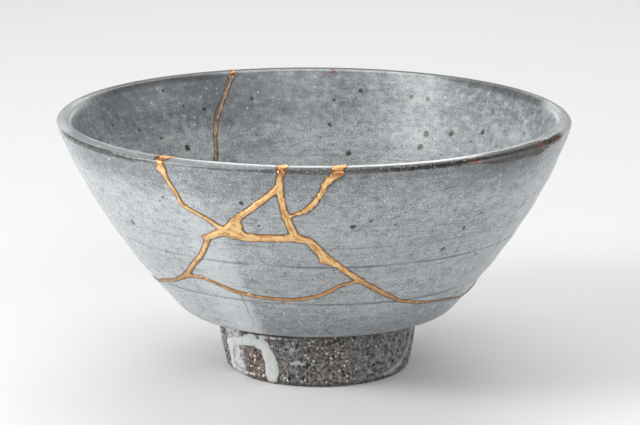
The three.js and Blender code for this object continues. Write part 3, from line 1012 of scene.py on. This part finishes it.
jitter = spot.node("ShaderNodeTexNoise", {}, {"Vector": spot, "Scale": 900.0}, "Color")
jitter = vector_math("SCALE", {0: jitter, "Scale": SPOT_WARP})
moved = vector_math("ADD", {0: spot, 1: jitter})
moved = vector_math("SUBTRACT", {0: moved, 1: (SPOT_WARP / 2,) * 3})
iron = nearest_spot(moved, OUTSIDE_SPOTS, lambda share: share)
iron = iron.math("MINIMUM", nearest_spot(moved, INSIDE_SPOTS, lambda share: 2 - share))
glaze = flecks(spot, 620.0, size=0.24, share=0.12).blend(glaze, PALE_FLECK)
glaze = flecks(spot, 520.0, size=0.22, share=0.14).blend(glaze, DARK_FLECK)
glaze = (iron.ramp(1.7, 0.9) * 0.5).blend(glaze, IRON_HALO)
glaze = (iron.ramp(1.1, 0.75) * 0.92).blend(glaze, IRON_CORE)
print("iron spots placed:", len(OUTSIDE_SPOTS) + len(INSIDE_SPOTS))

# %% Wheel lines and hairline
WHEEL_LINES = [(44.2, 0.1, 0.4, 1.0), (31.2, 0.1, 0.35, 1.0), (50.6, 0.05, 0.4, 0.45),
               (36.0, 0.05, 0.3, 0.35)]  # height, half width, soft border, amount
GROOVE_DARK = (0.07, 0.075, 0.078, 1)
HAIRLINE_DARK = (0.07, 0.07, 0.07, 1)
HAIRLINE_ANGLE = -23.6
HAIRLINE_TOP = 34
HAIRLINE_LEAN = 0.04  # degrees for each millimetre down
worn = 0.15 + noise(spot, 55.0, detail=3.0).ramp(0.38, 0.62) * 0.55
level = height + swing(spot, 14.0) * 2.2
groove_line = level * 0.0
for line_height, half, soft, amount in WHEEL_LINES:
    groove_line = groove_line.larger(level.band(line_height, half, soft) * amount)
glaze = (groove_line * worn * outer).blend(glaze, GROOVE_DARK)
hairline_angle = HAIRLINE_ANGLE - (HAIRLINE_TOP - height) * HAIRLINE_LEAN
hairline_angle = hairline_angle + swing(spot, 300.0, detail=1.0) * 1.6
hairline = (front_angle - hairline_angle).band(0.0, 0.12, 0.2) * height.between(21.0, 23.0, 33.5, 34.2)
glaze = (hairline * outer * worn * 0.9).blend(glaze, HAIRLINE_DARK)
print(len(WHEEL_LINES), "wheel lines and one hairline")

# %% [markdown]
# ## The lip
# At the edge of the lip the glaze ran off while it was molten. Its top is a thin grey. Painted highlights
# make its inner edge and its left and right ends pale, and painted shade darkens the far lip. Under its outer
# edge the iron turns what stayed dark brown, with rust in a few places, and a painted shadow lies below that
# line.
# Each could be a ring of mesh, but real glaze has no border there. So they are bands of the way from the
# lip's crest, a number kept on the mesh. Their borders move with the angle: the dark line is broad at the
# right, middling at the left and thin in front.

# %% Grey top and painted highlights of the lip
LIP_GREY = (0.20, 0.215, 0.22, 1)
LIP_GREY_LEFT = (0.27, 0.285, 0.29, 1)
LIP_GREY_RIGHT = (0.09, 0.095, 0.095, 1)
LIP_END_HIGHLIGHT = (0.50, 0.515, 0.52, 1)
LIP_EDGE_HIGHLIGHT = (0.82, 0.84, 0.84, 1)
left_zone = front_angle.band(-56.0, 13.0, 9.0)
dark_part = front_angle.band(48.0, 6.0, 6.0)
ragged = swing(spot, 500.0, detail=3.0, rough=0.6) * 1.3
speckle = noise(spot, 1500.0)
top_grey = lip_way.between(-1.6, -1.0, 2.2, 3.0)
lip_grey = dark_part.blend(left_zone.blend(LIP_GREY, LIP_GREY_LEFT), LIP_GREY_RIGHT)
glaze = (top_grey * (0.55 + dark_part * 0.25)).blend(glaze, lip_grey)
# Painted highlight: the lip's left and right ends, as seen from the front, are pale.
painted_end_highlight = from_front.band(89.0, 14.0, 10.0) * lip_way.between(-5.0, -2.6, 2.4, 3.6)
glaze = (painted_end_highlight * (0.6 + speckle * 0.5)).blend(glaze, LIP_END_HIGHLIGHT)
# Painted highlight: a pale line along the inner edge of the lip in front, and a fainter one on the far lip.
edge_way = lip_way + ragged * 0.15 + 0.95 - front_angle.band(0.0, 28.0, 14.0) * 0.7 - left_zone * 0.1
edge_way = edge_way + front_angle.ramp(-55.0, -85.0) * 1.9 + front_angle.ramp(55.0, 85.0) * 1.6
painted_edge_highlight = (edge_way.without_sign() - left_zone * 0.25).ramp(0.55, 0.25)
painted_edge_highlight = painted_edge_highlight * from_front.ramp(104.0, 90.0) * (1 - front_angle.band(-8.0, 20.0, 14.0) * 0.4)
far_edge_highlight = (lip_way + ragged * 0.2).band(-1.8, 0.2, 0.4) * from_front.ramp(145.0, 152.0)
glaze = (painted_edge_highlight * 0.95 + far_edge_highlight * 0.25).blend(glaze, LIP_EDGE_HIGHLIGHT)
print("lip's edges bring it to", len(stoneware.node_tree.nodes), "nodes")

# %% Dark line under the lip
FAR_LIP_DARK_AND_SHADE = (0.06, 0.06, 0.06, 1)
UNDER_LINE_SHADOW = (0.09, 0.09, 0.092, 1)
LINE_BROWN = (0.026, 0.023, 0.018, 1)
SMUDGE = (0.07, 0.067, 0.065, 1)
right_zone = front_angle.band(50.0, 7.0, 7.0)
back_zone = from_front.ramp(104.0, 125.0)
# Speckled dark patches on the inner lip at the back right and back left, and painted shade over the whole lip
# at the back.
far_lip_dark_and_shade = front_angle.band(124.0, 13.0, 9.0).larger(front_angle.band(-137.0, 14.0, 10.0))
far_lip_dark_and_shade = far_lip_dark_and_shade * lip_way.band(-2.1, 1.0, 1.3) * speckle.ramp(0.2, 0.5)
far_lip_dark_and_shade = (far_lip_dark_and_shade * 0.7).larger(lip_way.band(-0.1, 1.0, 0.4) * back_zone * 0.85)
glaze = far_lip_dark_and_shade.blend(glaze, FAR_LIP_DARK_AND_SHADE)
line_top = 2.0 - front_angle.ramp(-13.0, -4.0) * 1.5 - right_zone + front_angle.band(66.0, 6.0, 6.0) * 0.4
line_foot = 2.75 + left_zone * 0.9 + right_zone * 1.6 + front_angle.band(62.0, 5.0, 4.0) * 0.7
below_top = (lip_way - line_top - ragged * 0.5).ramp(-0.25, 0.25)
above_foot = (lip_way - line_foot - ragged).ramp(0.3, -0.3)
strength = 0.6 + left_zone * 0.3 + front_angle.ramp(-12.0, -2.0) * 0.15 + front_angle.ramp(4.0, 20.0) * 0.23
strength = strength * front_angle.between(-79.0, -70.0, 67.0, 73.0)
lip_line = below_top * above_foot * strength * speckle.ramp(0.25, 0.48)
# Painted shadow: a soft darker band below the dark line at the front right.
under_line_shadow = lip_way.band(3.6, 0.7, 1.6) * front_angle.band(22.0, 22.0, 12.0)
glaze = (under_line_shadow * 0.32).blend(glaze, UNDER_LINE_SHADOW)
glaze = lip_line.blend(glaze, LINE_BROWN)
smudge = noise(spot, 520.0, detail=4.0, rough=0.65).ramp(0.36, 0.6)
smudge = smudge * front_angle.band(49.0, 5.0, 9.0) * height.ramp(67.5, 72.0) * outer
glaze = (smudge * 0.8).blend(glaze, SMUDGE)
print("the dark line brings it to", len(stoneware.node_tree.nodes), "nodes")

# %% Rust on the lip and the gold's dark edge
RUST_PLACES = [(36.5, 0.5, 2.2, 1.0), (66.0, 1.0, 2.0, 1.0), (58.5, 0.5, 2.5, 0.8),
               (175.0, 0.5, 2.5, 1.0)]  # angle, half width, soft border, amount
RUST = (0.20, 0.065, 0.03, 1)
LACQUER_EDGE = (0.065, 0.045, 0.032, 1)
rust = front_angle * 0.0
for angle, half, soft, amount in RUST_PLACES:
    rust = rust.larger(front_angle.band(angle, half, soft) * amount)
rust = rust * lip_way.without_sign().band(1.9, 0.7, 0.7) * noise(spot, 1300.0, detail=3.0).ramp(0.42, 0.6)
glaze = (rust * 0.85).blend(glaze, RUST)
glaze = (edge.band(0.0, 0.15, 0.25) * 0.8).blend(glaze, LACQUER_EDGE)
print(len(RUST_PLACES), "rusty places on the lip")

# %% [markdown]
# ## The bare foot
# The foot was wiped before firing. Sandy clay shows there, dark brown with white, black and rust-red grains.
# A thin wash of glaze clouds it to grey on the right and is full of pits. The foot could have a material of
# its own, but the wiped border is soft, so a mask blends the two. The thick pale runs on top of it are real
# relief in the mesh, and the colour follows the same number.

# %% Clay
CLAY_DARK = (0.032, 0.029, 0.027, 1)
CLAY_LIGHT = (0.30, 0.28, 0.255, 1)
BROWN_DARK = (0.045, 0.030, 0.026, 1)
BROWN_LIGHT = (0.25, 0.185, 0.165, 1)
WHITE_GRAIN = (0.74, 0.71, 0.66, 1)
BLACK_GRAIN = (0.010, 0.008, 0.007, 1)
RUST_GRAIN = (0.14, 0.045, 0.032, 1)
clay_tone = noise(spot, 1200.0, detail=4.0, rough=0.75).ramp(0.36, 0.64)
brown_patch = front_angle.band(-41.0, 7.0, 5.0) * height.ramp(12.5, 10.5)
clay_dark = brown_patch.blend(CLAY_DARK, BROWN_DARK)
clay_light = brown_patch.blend(CLAY_LIGHT, BROWN_LIGHT)
clay = clay_tone.blend(clay_dark, clay_light)
clay = flecks(moved, 820.0, size=0.40, share=0.40).blend(clay, WHITE_GRAIN)
clay = flecks(moved, 700.0, size=0.42, share=0.42).blend(clay, BLACK_GRAIN)
clay = flecks(moved, 640.0, size=0.36, share=0.12).blend(clay, RUST_GRAIN)
print("clay brings it to", len(stoneware.node_tree.nodes), "nodes")

# %% Thin wash of glaze over the clay
WASH_DARK = (0.05, 0.051, 0.054, 1)
WASH_PALE = (0.54, 0.56, 0.565, 1)
PIT = (0.018, 0.016, 0.015, 1)
left_pale = front_angle.between(-69.0, -65.0, -54.0, -46.0)
wash_share = front_angle.ramp(14.0, 34.0) * 0.26 + front_angle.band(-18.0, 6.0, 8.0) * 0.16 + left_pale * 0.38
wash = (noise(spot, 150.0, detail=4.0, rough=0.6) + wash_share).ramp(0.58, 0.74) * 0.85
low_streak = (height + ragged).band(7.5, 0.3, 0.5) * front_angle.band(-9.0, 6.0, 4.0)
high_streak = (height + ragged).band(11.9, 0.5, 0.7) * front_angle.band(-15.0, 3.0, 4.0)
streaks = low_streak.larger(high_streak * 0.8)
wash = wash.larger(streaks * 0.8)
wash_tone = (noise(spot, 620.0, detail=4.0, rough=0.7) + left_pale * 0.45 + streaks * 0.3).ramp(0.3, 1.0)
pits = flecks(moved, 540.0, size=0.52, share=0.9) * (1 - left_pale * 0.4)
wash_colour = pits.blend(wash_tone.blend(WASH_DARK, WASH_PALE), PIT)
clay = wash.blend(clay, wash_colour)
print("the wash brings it to", len(stoneware.node_tree.nodes), "nodes")

# %% Runs, and the lines above the foot
RUN_DARK = (0.30, 0.32, 0.315, 1)
RUN_PALE = (0.51, 0.53, 0.51, 1)
RUN_RIGHT = (0.21, 0.215, 0.22, 1)
RUN_BORDER = (0.06, 0.05, 0.04, 1)
SHOULDER_BROWN_AND_SHADE = (0.05, 0.042, 0.034, 1)
HEEL_PALE = (0.52, 0.51, 0.47, 1)
soft_run = run + swing(spot, 800.0, detail=3.0) * 0.9
run_mask = soft_run.ramp(-0.2, 0.35)
wiped = foot.ramp(0.2, 0.6).larger(height.ramp(16.6, 15.9) * radius.ramp(32.0, 31.0))
bare = wiped * (1 - run_mask)
run_cloud = noise(spot, 500.0, detail=3.0)
run_tone = (run_cloud + front_angle.band(-45.0, 20.0, 6.0) * 0.35).ramp(0.3, 0.85).blend(RUN_DARK, RUN_PALE)
run_tone = front_angle.ramp(-20.0, 0.0).blend(run_tone, RUN_RIGHT)
colour = (run_mask * 0.9).blend(glaze, run_tone)
colour = bare.blend(colour, clay)
colour = (soft_run.band(-0.05, 0.06, 0.15) * wiped * 0.35).blend(colour, RUN_BORDER)
ragged_height = height + ragged * 0.3
# A brown line where the bowl's underside meets the foot, darkened further by painted shadow, most on the
# left.
shoulder_line_and_shade = ragged_height.band(15.8, 0.4, 0.35) * radius.between(28.0, 28.6, 31.5, 33.0)
shoulder_line_and_shade = shoulder_line_and_shade * (0.35 + front_angle.ramp(0.0, -20.0) * 0.5)
colour = shoulder_line_and_shade.blend(colour, SHOULDER_BROWN_AND_SHADE)
heel_line = ragged_height.band(19.2, 0.3, 0.35) * outer * noise(spot, 90.0, detail=3.0).ramp(0.35, 0.6)
colour = (heel_line * 0.4).blend(colour, HEEL_PALE)
print("runs and lines bring it to", len(stoneware.node_tree.nodes), "nodes")

# %% [markdown]
# ## Gloss and fine bumps
# The glaze is satin, with a faint skin like an orange's, and on the right of the inside it is hammered by
# small dents. Bare clay is matt and gritty. The mesh could hold such bumps only with millions of faces, so
# a Bump node tilts the light instead. It reads the same grains, grooves and pits as the colour.

# %% Roughness and bumps of the stoneware
GLAZE_IOR = 1.5
BUMP_STRENGTH = 0.5
BUMP_HEIGHT = 0.0004  # metres
matt = bare * (1 - wash * 0.6)
rough = 0.30 + mottle * 0.2 + matt * 0.5 + lip_line * right_zone * 0.3
rough = rough - top_grey * (0.14 - back_zone * 0.4)
hammered = front_angle.band(112.0, 28.0, 12.0) * (1 - outer)
glaze_bumps = (run_cloud - 0.5) * (0.35 + hammered * 0.7) + grain * 0.25 + streak * 0.25
clay_bumps = (clay_tone - 0.5) * 0.8 - pits * wash
relief = glaze_bumps * (1 - bare) + clay_bumps * bare - groove_line * outer * 0.5 - hairline * 0.6
bump_values = {"Strength": BUMP_STRENGTH, "Distance": BUMP_HEIGHT, "Height": relief}
bump = spot.node("ShaderNodeBump", {}, bump_values)
finish_surface(stoneware, {"IOR": GLAZE_IOR}, {"Base Color": colour, "Roughness": rough, "Normal": bump})
for shard in shards:
    shard.data.materials.append(stoneware)
print("stoneware has", len(stoneware.node_tree.nodes), "nodes and lies on", len(shards), "shards")

# %% [markdown]
# ## The gold finish
# Gold powder is dusted on wet lacquer and rubbed, so it is a satin metal. It could be one plain metal, but
# the brush left marks along each line. Noise that reads the depth inside the line as one of its directions
# makes them, since the depth changes only across a line. The same number browns the edges. The low lines
# lost powder and are browner, their ends have faded, the rim is worn to copper, and painted shade dulls the
# gold on the inside, most at the back.

# %% Gold powder
GOLD_DARK = (0.66, 0.31, 0.10, 1)
GOLD_BRIGHT = (1.0, 0.69, 0.34, 1)
EDGE_BROWN = (0.36, 0.155, 0.06, 1)
RIM_COPPER = (0.40, 0.17, 0.065, 1)
LOW_BROWN = (0.40, 0.185, 0.08, 1)
END_GREY = (0.22, 0.185, 0.165, 1)
INSIDE_GOLD_SHADE = (0.22, 0.16, 0.125, 1)
BRUSH_SCALE = 330.0
BRUSH_ACROSS = 1.6
gold_finish = new_finish("brushed_gold")
spot = spot_in(gold_finish)
depth_in = kept_number(spot, "depth")
parts = spot.node("ShaderNodeSeparateXYZ", {}, {"Vector": spot})
right_way, back_way, up_way = parts.out("X"), parts.out("Y"), parts.out("Z")
brush_way = {"X": right_way * BRUSH_SCALE, "Y": depth_in * BRUSH_ACROSS, "Z": up_way * BRUSH_SCALE}
brush = swing(spot.node("ShaderNodeCombineXYZ", {}, brush_way), 1.0, detail=3.0, rough=0.7)
dust = swing(spot, 3200.0)
height = up_way * TO_MM
radius = (right_way * right_way + back_way * back_way).math("SQRT") * TO_MM
round_front = right_way.math("ARCTAN2", back_way * -1.0) * TO_DEGREES
inner = past_cone(radius, height).ramp(0.8, -0.8) * height.ramp(74.6, 74.0)
tone = 0.74 + brush * 5.0 + dust * 1.4
gold_colour = tone.ramp(0.0, 1.0).blend(GOLD_DARK, GOLD_BRIGHT)
gold_colour = (depth_in.ramp(0.42, 0.0) * 0.9).blend(gold_colour, EDGE_BROWN)
worn_rim = height.ramp(72.0, 73.8) * noise(spot, 420.0).ramp(0.32, 0.5)
gold_colour = (worn_rim * 0.85).blend(gold_colour, RIM_COPPER)
low_line = height.ramp(43.0, 37.0) * (1 - inner)
gold_colour = (low_line * 0.55).blend(gold_colour, LOW_BROWN)
faded = (round_front.ramp(32.0, 50.0) * 0.75 + round_front.ramp(-52.0, -66.0) * 0.45) * low_line
gold_colour = faded.blend(gold_colour, END_GREY)
# Painted shade: the gold inside is dulled to brown, most at the back.
inside_gold_shade = inner * (0.6 + back_way.ramp(0.0, 0.03) * 0.3)
gold_colour = inside_gold_shade.blend(gold_colour, INSIDE_GOLD_SHADE)
print("gold's colour has", len(gold_finish.node_tree.nodes), "nodes")

# %% Gloss of the gold
GOLD_BUMP_STRENGTH = 0.45
GOLD_BUMP_HEIGHT = 0.0003  # metres
gold_rough = 0.36 + dust * 0.25 - height.ramp(72.4, 74.0) * 0.12
bump_values = {"Strength": GOLD_BUMP_STRENGTH, "Distance": GOLD_BUMP_HEIGHT, "Height": brush + dust * 0.4}
gold_bump = spot.node("ShaderNodeBump", {}, bump_values)
gold_links = {"Base Color": gold_colour, "Roughness": gold_rough, "Normal": gold_bump}
finish_surface(gold_finish, {"Metallic": 1.0}, gold_links)
gold.data.materials.append(gold_finish)
print("gold has", len(gold_finish.node_tree.nodes), "nodes")

# %% [markdown]
# ## Studio
# The bowl stands on a pale sheet that sweeps up behind it, so no horizon shows. Six soft boxes light it: a
# small key from the front left, low ones at both sides, and large ones in front, above and behind. A sky
# picture could light it too, but boxes can be moved one by one. The outside of the bowl faces down, so its
# glaze also mirrors the bright sheet.

# %% Sheet
SWEEP_NEAR = -3.5  # metres
SWEEP_FLAT = 3.0
SWEEP_BEND = 0.5
SWEEP_WIDTH = 4.0
SWEEP_TOP = 2.5
SWEEP_STEPS = 24
PAPER_WHITE = (0.765, 0.765, 0.77, 1)
PAPER_ROUGH = 0.9


def swept_sheet():
    """A floor that bends up in a quarter circle and goes on as a wall, carried sideways."""
    bend = np.linspace(0, math.pi / 2, SWEEP_STEPS)
    back_end = SWEEP_FLAT + SWEEP_BEND
    back = np.concatenate([[SWEEP_NEAR], SWEEP_FLAT + SWEEP_BEND * np.sin(bend), [back_end]])
    rise = np.concatenate([[0.0], SWEEP_BEND * (1 - np.cos(bend)), [SWEEP_TOP]])
    side = np.array([-SWEEP_WIDTH, SWEEP_WIDTH])
    grid = np.broadcast_arrays(side[None, :], back[:, None], rise[:, None])
    start = 2 * np.arange(len(back) - 1)
    return np.stack(grid, axis=-1).reshape(-1, 3), np.stack([start, start + 1, start + 3, start + 2], axis=-1)


points, faces = swept_sheet()
mesh = bpy.data.meshes.new("paper_sheet")
mesh.from_pydata(points, [], faces.tolist())
mesh.shade_smooth()
sheet = bpy.data.objects.new("paper_sheet", mesh)
bpy.context.scene.collection.objects.link(sheet)
paper = new_finish("pale_paper")
finish_surface(paper, {"Base Color": PAPER_WHITE, "Roughness": PAPER_ROUGH}, {})
mesh.materials.append(paper)
print("the sheet has", len(faces), "faces")

# %% Lights
LIGHT_AIM = np.array([0, 0, 0.04])
SOFT_BOXES = {
    "key_box": ((-0.733, -0.370, 0.610), 0.35, 4.2),
    "low_left_box": ((-0.954, -0.256, 0.196), 0.6, 9.4),
    "low_right_box": ((0.984, -0.086, 0.196), 0.6, 5.6),
    "front_box": ((0.25, -1.0, 0.7), 0.8, 5.4),
    "top_box": ((0.0, 0.3, 1.1), 1.0, 5.4),
    "back_box": ((0.1, 1.0, 0.9), 0.8, 5.6),
}  # position and edge in metres, and watts
SKY_STRENGTH = 0.08


def soft_box(name, position, size, watts):
    """A square area light at the position, facing the middle of the bowl."""
    light = bpy.data.lights.new(name, "AREA")
    light.size = size
    light.energy = watts
    lamp = bpy.data.objects.new(name, light)
    right, back, up = np.array(position) - LIGHT_AIM
    lamp.location = position
    lamp.rotation_euler = (math.atan2(math.hypot(right, back), up), 0, math.atan2(right, -back))
    bpy.context.scene.collection.objects.link(lamp)


for name, box in SOFT_BOXES.items():
    soft_box(name, *box)
world = bpy.data.worlds.new("studio")
world.use_nodes = True
sky = world.node_tree.nodes["Background"]
sky.inputs["Color"].default_value = (1, 1, 1, 1)
sky.inputs["Strength"].default_value = SKY_STRENGTH
bpy.context.scene.world = world
bpy.context.scene.view_settings.view_transform = "Standard"
print(len(SOFT_BOXES), "soft boxes of", sum(box[-1] for box in SOFT_BOXES.values()), "watts in all")

# %% Camera
from mathutils import Matrix

LENS = 172.5  # millimetres
SENSOR_WIDTH = 36.0
CAMERA_DISTANCE = 0.9  # metres
CAMERA_RISE = math.radians(13.24)
CAMERA_ROLL = math.radians(0.27)
AIM = (0.00189, 0.0, 0.04572)
camera_data = bpy.data.cameras.new("photo_camera")
camera_data.lens = LENS
camera_data.sensor_width = SENSOR_WIDTH
camera = bpy.data.objects.new("photo_camera", camera_data)
stand = (AIM[0], -CAMERA_DISTANCE * math.cos(CAMERA_RISE), AIM[2] + CAMERA_DISTANCE * math.sin(CAMERA_RISE))
tilt = Matrix.Rotation(math.pi / 2 - CAMERA_RISE, 4, "X") @ Matrix.Rotation(CAMERA_ROLL, 4, "Z")
camera.matrix_world = Matrix.Translation(stand) @ tilt
bpy.context.scene.collection.objects.link(camera)
bpy.context.scene.camera = camera
print("the camera stands at", np.round(stand, 3))

# %% [markdown]
# The dressed bowl may not outgrow the frame.
